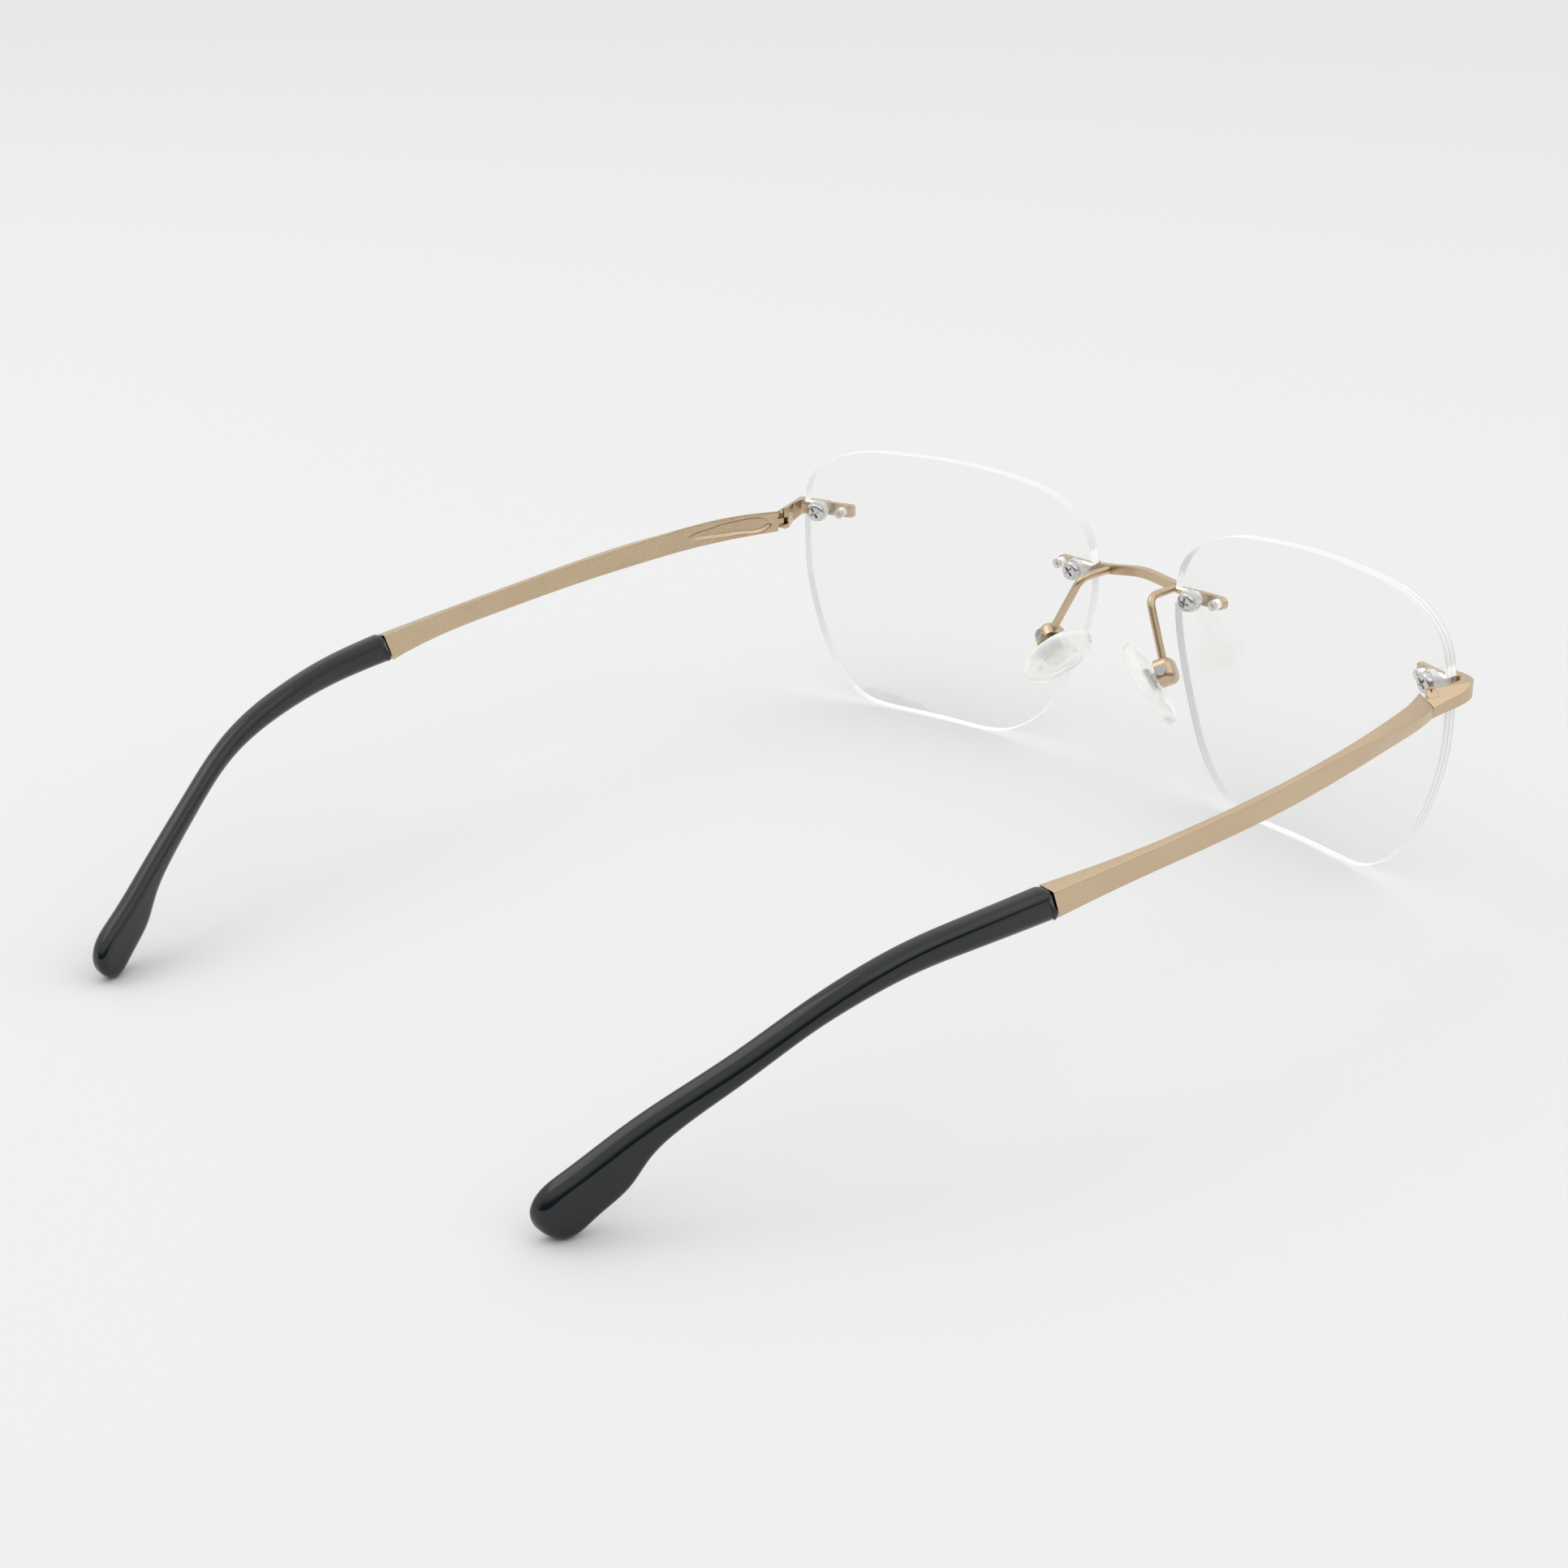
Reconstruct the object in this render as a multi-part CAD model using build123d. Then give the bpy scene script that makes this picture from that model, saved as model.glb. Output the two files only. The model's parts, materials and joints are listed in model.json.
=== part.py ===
from build123d import *
import math
import os

os.makedirs("parts", exist_ok=True)

# Rimless eyeglasses standing on the lens bottoms and the two temple tips.
# +X is the wearer's left, -Y is the front, +Z is up; lengths in millimetres.

# ---- overall layout -------------------------------------------------------
LENS_WIDTH = 54.0          # boxed lens width
BRIDGE_GAP = 17.0          # boxed distance between the two lenses
CENTRE_X = (LENS_WIDTH + BRIDGE_GAP) / 2.0
SHIFT_Y = -75.5            # moves the middle of the overall depth to Y = 0
FACE_WRAP = 10.0           # degrees each lens turns back towards the temple
FACE_TILT = 2.1            # degrees the top of each lens leans forward
LENS_RISE = 21.172         # height of the boxed centre above the ground

# ---- lens -----------------------------------------------------------------
LENS_RADIUS = 120.0        # front surface curve
LENS_THICK = 2.0
OUTLINE = [
    (26.9, 2.5),
    (27.0, 9.0),
    (25.6, 15.4),
    (19.5, 19.6),
    (10.5, 20.9),
    (0.0, 21.2),
    (-10.5, 20.7),
    (-19.0, 19.2),
    (-25.2, 14.8),
    (-27.0, 8.0),
    (-25.9, 0.0),
    (-22.8, -8.8),
    (-18.0, -16.6),
    (-12.4, -20.3),
    (-3.0, -21.2),
    (8.0, -21.2),
    (15.4, -20.2),
    (20.6, -15.8),
    (24.4, -8.6),
]
SLOT_HEIGHT = 2.1          # open slot from the lens edge in to each mount screw

# ---- lens fixings: stations measured from the boxed centre ------------------
NASAL_SCREW = (-24.35, 8.75)
NASAL_PEG = (-20.45, 8.75)
TEMPLE_SCREW = (24.9, 9.9)
TEMPLE_PEG = (21.3, 9.7)
STRIP_THICK = 0.9
NASAL_STRIP_HEIGHT = 2.0
TEMPLE_STRIP_HEIGHT = 2.1
SCREW_R = 0.65
SCREW_HEAD_R = 1.45
SCREW_HEAD_HEIGHT = 1.0
WASHER_R = 1.7
WASHER_THICK = 1.1
BUSHING_R = 1.0
PEG_R = 0.38
SLEEVE_R = 0.75
SLEEVE_PROUD = 0.45        # length of peg sleeve standing behind the lens
FIT = 0.02                 # radial clearance between seated pieces

# ---- bridge -----------------------------------------------------------------
BRIDGE_TOP = 31.75
BRIDGE_BAR_HEIGHT = 1.45
BRIDGE_SPRING_X = 8.6      # where the arch meets the lens strips
BRIDGE_Y = -2.05           # middle of the bar, front to back
BRIDGE_THICK = 1.0

# ---- hinge ------------------------------------------------------------------
PIN_X = 62.15
PIN_Y = 14.45
BARREL_R = 1.1
PIN_R = 0.45
PIN_FIT = 0.04
PIN_HEAD_R = 0.85
HEAD_SINK = 0.75           # depth of the counterbore for the screw head
HINGE_TOP = 32.05
HINGE_BOTTOM = 28.5
TONGUE_TOP = 30.45
TONGUE_BOTTOM = 29.5
TONGUE_GAP = 0.12
TONGUE_R = 0.75
BUTT_Y = 15.85             # front end of the temple
OUTER_X = 63.4
RIDGE_Z = 30.35            # height of the outer ridge at the hinge

# ---- nose pads --------------------------------------------------------------
PAD_PIVOT = (11.1, 6.0, 19.9)
PAD_LONG = (0.69, 0.10, -0.72)
PAD_NORMAL = (-0.62, 0.52, -0.59)
PAD_LENGTH = 14.0
PAD_WIDTH = 7.4
PAD_THICK = 2.5
PAD_OFFSET = 3.1           # pivot to the middle of the pad, along its normal
PAD_FORWARD = 0.9          # pad centre sits this far in front of the box
PAD_ROCK = 12.0            # degrees the pad is rocked from square with its box
WIRE_R = 0.6

# ---- temples ----------------------------------------------------------------
JOINT_Y = 92.4             # where the metal arm meets the tip
JOINT_LEAN = 20.0          # degrees the meeting face leans, foot forward
SCOOP_DEPTH = 0.45
TIP_THICK = 3.3
TIP_ROUND = 0.9


def lens_plane():
    wrap = math.radians(FACE_WRAP)
    tilt = math.radians(FACE_TILT)
    across = (math.cos(wrap), math.sin(wrap) * math.cos(tilt), math.sin(wrap) * math.sin(tilt))
    front = (math.sin(wrap), -math.cos(wrap) * math.cos(tilt), -math.cos(wrap) * math.sin(tilt))
    return Plane(origin=(CENTRE_X, 0, LENS_RISE), x_dir=across, z_dir=front)


LENS = lens_plane()


def ball(radius):
    return Pos(0, 0, -LENS_RADIUS) * Rot(0, 90, 0) * Sphere(radius)


def shell(front_offset, back_offset):
    return ball(LENS_RADIUS + front_offset) - ball(LENS_RADIUS + back_offset)


def lens_outline():
    return make_face(Spline(*OUTLINE, periodic=True))


def prism(face, depth=14.0):
    return Pos(0, 0, -depth / 2) * extrude(face, depth)


def at(station, height=0.0):
    """Local placement on the lens whose Z follows the surface normal."""
    u, v = station
    lean = math.degrees(math.asin(math.hypot(u, v) / LENS_RADIUS))
    turn = math.degrees(math.atan2(v, u))
    return Pos(0, 0, -LENS_RADIUS) * Rot(0, 0, turn) * Rot(0, lean, 0) * Rot(0, 0, -turn) * Pos(
        0, 0, LENS_RADIUS + height
    )


def rod(station, radius, top, bottom):
    length = top - bottom
    return at(station, (top + bottom) / 2) * Cylinder(radius, length)


def edge_slot(station, edge):
    """Slot with a round inner end, open at the lens edge nearest the screw."""
    reach = edge - station[0]
    slot = Pos(reach / 2, 0) * Rectangle(abs(reach), SLOT_HEIGHT) + Circle(SLOT_HEIGHT / 2)
    return at(station, -LENS_THICK / 2) * prism(slot)


def lens_body():
    body = prism(lens_outline()) & shell(0, -LENS_THICK)
    body -= edge_slot(NASAL_SCREW, -28.5)
    body -= edge_slot(TEMPLE_SCREW, 28.5)
    for station in (NASAL_PEG, TEMPLE_PEG):
        body -= rod(station, SLEEVE_R + FIT, 3, -5)
    return body


def strip_face(start, end, height, round_end):
    """Outline of a flat strip on the lens; round_end gives the inboard end its radius."""
    u0, v0 = start
    u1, v1 = end
    length = abs(u1 - u0)
    side = 1 if u1 > u0 else -1
    face = Pos((u0 + u1) / 2, (v0 + v1) / 2) * Rectangle(length, height)
    ends = [v for v in face.vertices() if abs(v.X - u1) < 1e-6]
    if round_end >= height / 2:
        trimmed = Pos((u0 + u1 - side * height / 2) / 2, v0) * Rectangle(length - height / 2, height)
        return trimmed + Pos(u1 - side * height / 2, v0) * Circle(height / 2)
    return fillet(ends, round_end)


def strip(start, end, height, round_end):
    body = prism(strip_face(start, end, height, round_end)) & shell(STRIP_THICK, 0)
    return body


def lens_room(edge, height):
    """Space that the upper part of the lens takes up, out to the given edge station."""
    return LENS * (Pos(edge / 2, height) * Box(abs(edge), 12, 14) & shell(0.0, -LENS_THICK - 3))


def with_peg(body, screw, peg):
    """Screw hole through the metal, and the locating peg on its back."""
    body -= LENS * rod(screw, SCREW_R, 3, -3)
    return body + LENS * rod(peg, PEG_R, STRIP_THICK / 2, -LENS_THICK - SLEEVE_PROUD + 0.25)


def bridge_curve(height):
    """Upper or lower line of the arched bar, seen from the front."""
    drops = [(-BRIDGE_SPRING_X - 1.6, 1.25), (-5.0, 0.62), (0.0, 0.0), (5.0, 0.62), (BRIDGE_SPRING_X + 1.6, 1.25)]
    points = [(x, height - drop) for x, drop in drops]
    return Spline(*points, tangents=[(1, 0.12), (1, -0.12)])


def bridge():
    """Arched bar with a flat strip on the front of each lens."""
    u_end = NASAL_PEG[0] + NASAL_STRIP_HEIGHT / 2
    flat = LENS * strip((-26.6, NASAL_SCREW[1]), (u_end, NASAL_SCREW[1]), NASAL_STRIP_HEIGHT, 9)
    flat = with_peg(flat, NASAL_SCREW, NASAL_PEG)
    top = bridge_curve(BRIDGE_TOP)
    bottom = bridge_curve(BRIDGE_TOP - BRIDGE_BAR_HEIGHT)
    side = make_face(Plane.XZ * (top + Line(top @ 1, bottom @ 1) + bottom + Line(bottom @ 0, top @ 0)))
    bar = Pos(0, BRIDGE_Y, 0) * extrude(side, BRIDGE_THICK / 2, both=True)
    room = lens_room(-LENS_WIDTH / 2 - 0.08, NASAL_SCREW[1])
    bar -= room
    bar -= mirror(room, about=Plane.YZ)
    return bar + flat + mirror(flat, about=Plane.YZ)


def endpiece_plan():
    """Plan outline of the bend round the lens edge and the arm back to the hinge."""
    pin_inner = PIN_X - BARREL_R
    butt = BUTT_Y - 0.08
    outer = Spline(
        (59.4, 4.95),
        (61.9, 5.75),
        (63.7, 7.2),
        (64.2, 9.4),
        (OUTER_X, butt),
        tangents=[(0.94, 0.34), (-0.12, 1)],
    )
    back = Polyline((OUTER_X, butt), (PIN_X + 0.25, butt), (PIN_X, PIN_Y + BARREL_R))
    barrel = RadiusArc((PIN_X, PIN_Y + BARREL_R), (pin_inner, PIN_Y), BARREL_R)
    inner = Polyline((pin_inner, PIN_Y), (pin_inner, 13.4), (62.2, 11.4), (62.5, 9.3))
    bend = Spline((62.5, 9.3), (61.9, 7.75), (59.1, 5.85), tangents=[(0.02, -1), (-0.92, -0.39)])
    return make_face(outer + back + barrel + inner + bend + Line((59.1, 5.85), (59.4, 4.95)))


def endpiece_side():
    """Side view of the arm: low at the hinge, rising to the strip on the lens."""
    return Polyline(
        (3.0, 31.95),
        (9.0, HINGE_TOP + 0.15),
        (18.0, HINGE_TOP),
        (18.0, HINGE_BOTTOM),
        (13.6, HINGE_BOTTOM + 0.1),
        (9.2, 29.75),
        (3.0, 30.05),
        (3.0, 31.95),
    )


def half_space(first, second, third):
    """Large block on the outer side of the plane through three points, seen clockwise from outside."""
    a, b, c = Vector(first), Vector(second), Vector(third)
    normal = (c - a).cross(b - a).normalized()
    block = Pos(0, 0, 20) * Box(80, 80, 40)
    return Plane(origin=a, z_dir=normal) * block


def upper_facet():
    """Slope across the top of the arm, widest at the hinge."""
    return half_space((60.95, BUTT_Y, HINGE_TOP), (OUTER_X, BUTT_Y, RIDGE_Z), (64.1, 8.6, 31.95))


def lower_facet():
    """Slope under the arm, rising outwards."""
    return half_space((OUTER_X, BUTT_Y, 28.95), (60.95, BUTT_Y, HINGE_BOTTOM), (64.1, 8.6, 29.75))


def endpiece_left():
    u_end = TEMPLE_PEG[0] - 1.7
    v_mid = (TEMPLE_SCREW[1] + TEMPLE_PEG[1]) / 2
    flat = LENS * strip((26.9, v_mid), (u_end, v_mid), TEMPLE_STRIP_HEIGHT, 0.4)
    tall = HINGE_TOP - HINGE_BOTTOM + 1.0
    turn = Pos(0, 0, HINGE_BOTTOM - 0.5) * extrude(endpiece_plan(), tall)
    turn &= Pos(55, 0, 0) * extrude(Plane.YZ * make_face(endpiece_side()), 12)
    turn -= upper_facet()
    turn -= lower_facet()
    turn -= lens_room(LENS_WIDTH / 2 + 0.35, TEMPLE_SCREW[1])
    body = with_peg(flat + turn, TEMPLE_SCREW, TEMPLE_PEG)
    slot_height = TONGUE_TOP - TONGUE_BOTTOM + 2 * TONGUE_GAP
    slot_mid = (TONGUE_TOP + TONGUE_BOTTOM) / 2
    reach = TONGUE_R + TONGUE_GAP
    slot = Cylinder(reach, slot_height)
    slot += Pos(-1.5, 0, 0) * Box(3.0, 2 * reach, slot_height)
    slot += Pos((reach - 3.0) / 2, 1.0, 0) * Box(reach + 3.0, 2.0, slot_height)
    body -= Pos(PIN_X, PIN_Y, slot_mid) * slot
    body -= Pos(PIN_X, PIN_Y, 31) * Cylinder(PIN_R, 8)
    body -= Pos(PIN_X, PIN_Y, HINGE_TOP) * Cylinder(PIN_HEAD_R + 0.02, 2 * HEAD_SINK)
    return body


def hinge_screw_left():
    length = HINGE_TOP - HEAD_SINK - HINGE_BOTTOM - 0.1
    body = Pos(PIN_X, PIN_Y, HINGE_TOP - HEAD_SINK - length / 2) * Cylinder(PIN_R, length)
    head = Pos(0, 0, -HEAD_SINK / 2) * Cylinder(PIN_HEAD_R, HEAD_SINK)
    head -= Rot(0, 0, 35) * Box(4, 0.25, 0.5)
    return body + Pos(PIN_X, PIN_Y, HINGE_TOP) * head - upper_facet() - lower_facet()


def mount_screw(station):
    seat = -LENS_THICK - 0.02 - WASHER_THICK
    body = rod(station, SCREW_R, STRIP_THICK + 0.1, seat - 0.2)
    head = Cylinder(SCREW_HEAD_R, SCREW_HEAD_HEIGHT)
    head = fillet(head.edges().group_by(Axis.Z)[0], 0.45)
    for turn in (45, 135):
        head -= Pos(0, 0, -SCREW_HEAD_HEIGHT / 2 + 0.2) * Rot(0, 0, turn) * Box(1.7, 0.32, 0.5)
    return body + at(station, seat - SCREW_HEAD_HEIGHT / 2) * head


def washer(station):
    ring = Cylinder(WASHER_R, WASHER_THICK) - Cylinder(SCREW_R + FIT, 2)
    ring = chamfer(ring.edges().filter_by(GeomType.CIRCLE).group_by(SortBy.RADIUS)[-1], 0.12)
    return at(station, -LENS_THICK - 0.02 - WASHER_THICK / 2) * ring


def bushing(station):
    tube = Cylinder(BUSHING_R, LENS_THICK - 0.06) - Cylinder(SCREW_R + FIT, 6)
    return at(station, -LENS_THICK / 2) * tube


def peg_sleeve(station):
    top = -0.03
    bottom = -LENS_THICK - SLEEVE_PROUD
    tube = Cylinder(SLEEVE_R, top - bottom) - Cylinder(PEG_R + FIT, 8)
    return at(station, (top + bottom) / 2) * tube


PAD = Plane(origin=PAD_PIVOT, x_dir=PAD_LONG, z_dir=PAD_NORMAL)
SQUARE = Rot(0, -PAD_ROCK, 0)


def pad_arm():
    """Wire soldered to the back of the bridge, bent down to the pad box."""
    path = FilletPolyline(
        (6.4, BRIDGE_Y, 30.2),
        (6.6, 4.7, 30.2),
        (10.5, 5.95, 21.9),
        radius=1.8,
    )
    start = Plane(origin=path @ 0, z_dir=path % 0)
    return sweep(start * Circle(WIRE_R), path) - bridge()


def pad_box():
    """Small cup, open towards the nose, that the pad stem drops into."""
    lip = 0.95
    floor = -1.75
    cup = Pos(0, 0, (lip + floor) / 2) * Box(4.1, 4.2, lip - floor)
    cup = fillet(cup.edges().filter_by(Axis.Z), 1.5)
    cup = fillet(cup.faces().sort_by(Axis.Z)[0].edges(), 1.2)
    cup -= Pos(0, 0, lip) * Box(2.9, 2.3, 4.1)
    cup -= Rot(90, 0, 0) * Cylinder(0.36, 8)
    return PAD * SQUARE * cup - pad_arm()


def pad_screw():
    body = Rot(90, 0, 0) * Cylinder(0.34, 4.3)
    head = Cylinder(0.8, 0.35) - Pos(0, 0, 0.12) * Box(3, 0.22, 0.25)
    return PAD * SQUARE * (body + Pos(0, -2.28, 0) * Rot(90, 0, 0) * head)


def pad_socket(clearance):
    """Block moulded into the back of the pad, grown by the clearance."""
    back = PAD_OFFSET - PAD_THICK / 2
    grow = 2 * clearance
    return Pos(0, 0, back + 0.45) * Box(3.3 + grow, 1.8 + grow, 1.0 + grow)


def nose_pad():
    """Soft oval pad, rounded all over, with a socket for its metal core."""
    oval = Ellipse(PAD_LENGTH / 2, PAD_WIDTH / 2)
    body = extrude(oval, PAD_THICK)
    body = fillet(body.edges().group_by(Axis.Z)[-1], 1.1)
    body = fillet(body.edges().group_by(Axis.Z)[0], 0.8)
    body = Pos(0, PAD_FORWARD, PAD_OFFSET - PAD_THICK / 2) * body
    return PAD * (body - pad_socket(FIT))


def pad_insert():
    """Metal core held in the pad, with the eye that rocks on the pad screw."""
    back = PAD_OFFSET - PAD_THICK / 2
    eye = Rot(90, 0, 0) * Cylinder(0.8, 1.7)
    stem = Pos(0, 0, back / 2) * Box(1.2, 1.7, back)
    body = pad_socket(0) + eye + stem
    body -= Rot(90, 0, 0) * Cylinder(0.34 + PIN_FIT, 4)
    return PAD * body


# sections of the metal arm: y, inner x, outer x, then heights of the inner bottom, inner top,
# outer top and outer bottom edges
ARM_SECTIONS = [
    (15.6, 60.87, 63.38, 28.5, 32.05, 30.35, 28.95),
    (20.0, 62.5, 64.55, 28.3, 32.2, 30.55, 29.05),
    (26.0, 63.9, 65.5, 28.15, 32.25, 30.9, 29.05),
    (32.0, 64.75, 66.1, 28.0, 32.0, 31.15, 28.85),
    (40.0, 65.4, 66.55, 27.7, 31.45, 31.2, 28.3),
    (54.0, 65.85, 66.8, 27.15, 30.65, 30.55, 27.35),
    (70.0, 65.2, 66.2, 26.45, 29.8, 29.65, 26.55),
    (82.0, 64.1, 65.5, 25.85, 29.3, 29.05, 25.95),
    (96.0, 61.9, 64.3, 24.4, 28.85, 28.35, 24.6),
]

TIP_TOP = [
    (90.0, 29.2),
    (104.0, 28.1),
    (112.0, 26.85),
    (118.0, 25.3),
    (124.3, 22.8),
    (132.6, 18.05),
    (142.9, 12.1),
    (150.0, 7.6),
]
TIP_NOSE = [
    (152.7, 5.7),
    (153.8, 3.3),
    (152.9, 1.05),
    (150.8, 0.05),
]
TIP_BOTTOM = [
    (90.0, 24.9),
    (104.0, 24.25),
    (112.0, 23.3),
    (118.0, 21.95),
    (124.3, 19.65),
    (132.5, 14.75),
    (138.7, 10.7),
    (141.7, 8.0),
    (144.0, 4.8),
    (147.8, 1.75),
]
TIP_MIDDLE = [
    (90.0, 63.75),
    (104.0, 61.85),
    (112.0, 60.1),
    (120.0, 58.35),
    (128.0, 55.8),
    (136.0, 52.25),
    (144.0, 48.55),
    (150.0, 46.15),
    (155.5, 44.2),
]


def band(plane, first, second, length):
    """Solid prism between two smooth curves given as (y, height) stations."""
    upper = Spline(*first)
    lower = Spline(*second)
    ring = upper + Line(upper @ 1, lower @ 1) + lower + Line(lower @ 0, upper @ 0)
    return extrude(plane * make_face(ring), length, both=True)


def plan_band(first, second):
    swap = Plane(origin=(0, 0, 0), x_dir=(0, 1, 0), z_dir=(0, 0, -1))
    return band(swap, first, second, 60)


def behind_joint(gap):
    """Everything behind the slanted face where the metal arm meets the tip."""
    return Pos(60, JOINT_Y + gap, 27.0) * Rot(-JOINT_LEAN, 0, 0) * Pos(0, 60, 0) * Box(40, 120, 80)


def tang(grow):
    """Flat core of the arm that runs inside the tip."""
    bar = Box(1.2 + grow, 13.0 + grow, 2.0 + grow)
    return Pos(62.65, JOINT_Y + 5.5, 26.55) * Rot(-3.5, 0, 8) * bar


def scoop():
    """Shallow teardrop hollow on the inner side just behind the hinge."""
    outline = Spline(
        (31.3, 29.3),
        (24.0, 31.0),
        (18.5, 31.6),
        (16.9, 30.9),
        (18.0, 29.9),
        (24.0, 29.3),
        (31.3, 29.3),
    )
    inner = [(section[0], section[1]) for section in ARM_SECTIONS]
    floor = [(y, x + SCOOP_DEPTH) for y, x in inner]
    open_side = [(y, x - 2.0) for y, x in inner]
    return extrude(Plane.YZ * make_face(outline), 90, both=True) & plan_band(floor, open_side)


def arm_section(y, inner_x, outer_x, inner_bottom, inner_top, outer_top, outer_bottom):
    corners = [
        (inner_x, y, inner_bottom),
        (inner_x, y, inner_top),
        (outer_x, y, outer_top),
        (outer_x, y, outer_bottom),
    ]
    return make_face(Polyline(*corners, close=True))


def temple_left():
    arm = loft([arm_section(*section) for section in ARM_SECTIONS])
    arm -= behind_joint(0)
    arm -= Pos(60, BUTT_Y - 5.0, 30) * Box(20, 10, 20)
    tongue_mid = (TONGUE_TOP + TONGUE_BOTTOM) / 2
    thick = TONGUE_TOP - TONGUE_BOTTOM
    knuckle = Cylinder(TONGUE_R, thick) + Pos(0, 0.9, 0) * Box(2 * TONGUE_R, 1.8, thick)
    arm += Pos(PIN_X, PIN_Y, tongue_mid) * knuckle
    arm -= Pos(PIN_X, PIN_Y, tongue_mid) * Cylinder(PIN_R + PIN_FIT, 2)
    return arm - scoop() + tang(0)


def tip_left():
    upper = Spline(*TIP_TOP)
    lower = Spline(*TIP_BOTTOM)
    nose = Spline(TIP_TOP[-1], *TIP_NOSE, TIP_BOTTOM[-1], tangents=[(0.84, -0.54), (-0.74, 0.67)])
    ring = upper + nose + lower + Line(lower @ 0, upper @ 0)
    side = extrude(Plane.YZ * make_face(ring), 90, both=True)
    outer = [(y, x + TIP_THICK / 2) for y, x in TIP_MIDDLE]
    inner = [(y, x - TIP_THICK / 2) for y, x in TIP_MIDDLE]
    body = side & plan_band(outer, inner)
    free_edges = body.edges().filter_by(lambda e: e.center().Y > TIP_TOP[0][0] + 0.5)
    body = fillet(free_edges, TIP_ROUND)
    in_front = Pos(60, JOINT_Y + 0.02, 27.0) * Rot(-JOINT_LEAN, 0, 0) * Pos(0, -60, 0)
    body -= in_front * Box(40, 120, 80)
    return body - tang(2 * FIT)


def save(name, shape):
    shape = Pos(0, SHIFT_Y, 0) * shape
    solids = shape.solids()
    if len(solids) != 1:
        print(name, "has", len(solids), "solids")
    export_step(solids[0] if len(solids) == 1 else shape, f"parts/{name}.step")
    box = shape.bounding_box()
    print(name, round(shape.volume, 2), box.min, box.max)


def save_pair(name, shape):
    save(f"{name}_left", shape)
    save(f"{name}_right", mirror(shape, about=Plane.YZ))


def main():
    save_pair("lens", LENS * lens_body())
    save("bridge", bridge())
    save_pair("endpiece", endpiece_left())
    save_pair("hinge_screw", hinge_screw_left())
    for place, screw, peg in (
        ("nasal", NASAL_SCREW, NASAL_PEG),
        ("temporal", TEMPLE_SCREW, TEMPLE_PEG),
    ):
        save_pair(f"{place}_screw", LENS * mount_screw(screw))
        save_pair(f"{place}_washer", LENS * washer(screw))
        save_pair(f"{place}_bushing", LENS * bushing(screw))
        save_pair(f"{place}_peg_sleeve", LENS * peg_sleeve(peg))
    save_pair("pad_arm", pad_arm())
    save_pair("pad_box", pad_box())
    save_pair("pad_screw", pad_screw())
    save_pair("nose_pad", nose_pad())
    save_pair("pad_insert", pad_insert())
    save_pair("temple", temple_left())
    save_pair("temple_tip", tip_left())


main()
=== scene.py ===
"""Rimless eyeglasses on a pale studio floor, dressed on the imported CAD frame.

Lengths are in metres. +X is the wearer's left, -Y the front and +Z up.
"""

import json
import logging
import math
from dataclasses import dataclass, field
from enum import Enum

import bmesh
import bpy
import numpy as np
from mathutils import Matrix, Vector

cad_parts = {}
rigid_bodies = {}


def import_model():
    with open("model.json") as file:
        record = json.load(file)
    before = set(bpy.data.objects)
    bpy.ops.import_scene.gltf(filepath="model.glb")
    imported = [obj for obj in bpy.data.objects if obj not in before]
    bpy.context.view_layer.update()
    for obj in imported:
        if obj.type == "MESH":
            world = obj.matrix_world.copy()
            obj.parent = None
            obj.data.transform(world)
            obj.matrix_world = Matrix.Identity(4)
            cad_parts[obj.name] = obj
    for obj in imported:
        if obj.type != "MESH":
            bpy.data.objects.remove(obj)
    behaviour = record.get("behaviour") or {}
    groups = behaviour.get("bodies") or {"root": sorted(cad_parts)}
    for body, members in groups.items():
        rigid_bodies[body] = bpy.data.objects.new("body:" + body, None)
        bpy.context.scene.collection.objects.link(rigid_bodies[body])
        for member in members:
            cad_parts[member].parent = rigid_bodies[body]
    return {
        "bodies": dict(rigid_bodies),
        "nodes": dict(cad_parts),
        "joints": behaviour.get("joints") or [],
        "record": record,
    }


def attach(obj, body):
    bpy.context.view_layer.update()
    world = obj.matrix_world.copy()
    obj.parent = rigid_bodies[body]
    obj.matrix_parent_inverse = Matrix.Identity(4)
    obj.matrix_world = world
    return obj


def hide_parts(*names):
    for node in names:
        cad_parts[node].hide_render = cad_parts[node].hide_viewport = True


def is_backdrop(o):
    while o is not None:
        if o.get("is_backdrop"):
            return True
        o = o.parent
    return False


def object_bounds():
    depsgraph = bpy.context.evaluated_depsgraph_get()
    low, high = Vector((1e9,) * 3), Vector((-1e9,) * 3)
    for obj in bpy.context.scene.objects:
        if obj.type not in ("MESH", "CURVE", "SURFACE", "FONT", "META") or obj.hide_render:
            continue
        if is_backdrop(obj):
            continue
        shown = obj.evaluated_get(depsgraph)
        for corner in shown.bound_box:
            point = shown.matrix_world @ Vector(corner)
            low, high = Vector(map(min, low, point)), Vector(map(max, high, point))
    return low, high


MM = 0.001
LOG = logging.getLogger("eyeglasses")


class Side(Enum):
    """The two mirrored halves of the frame."""

    LEFT = 1
    RIGHT = -1

    @property
    def word(self) -> str:
        """Ending that this side's names carry."""
        return self.name.lower()


# ---------------------------------------------------------------- shader nodes


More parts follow.
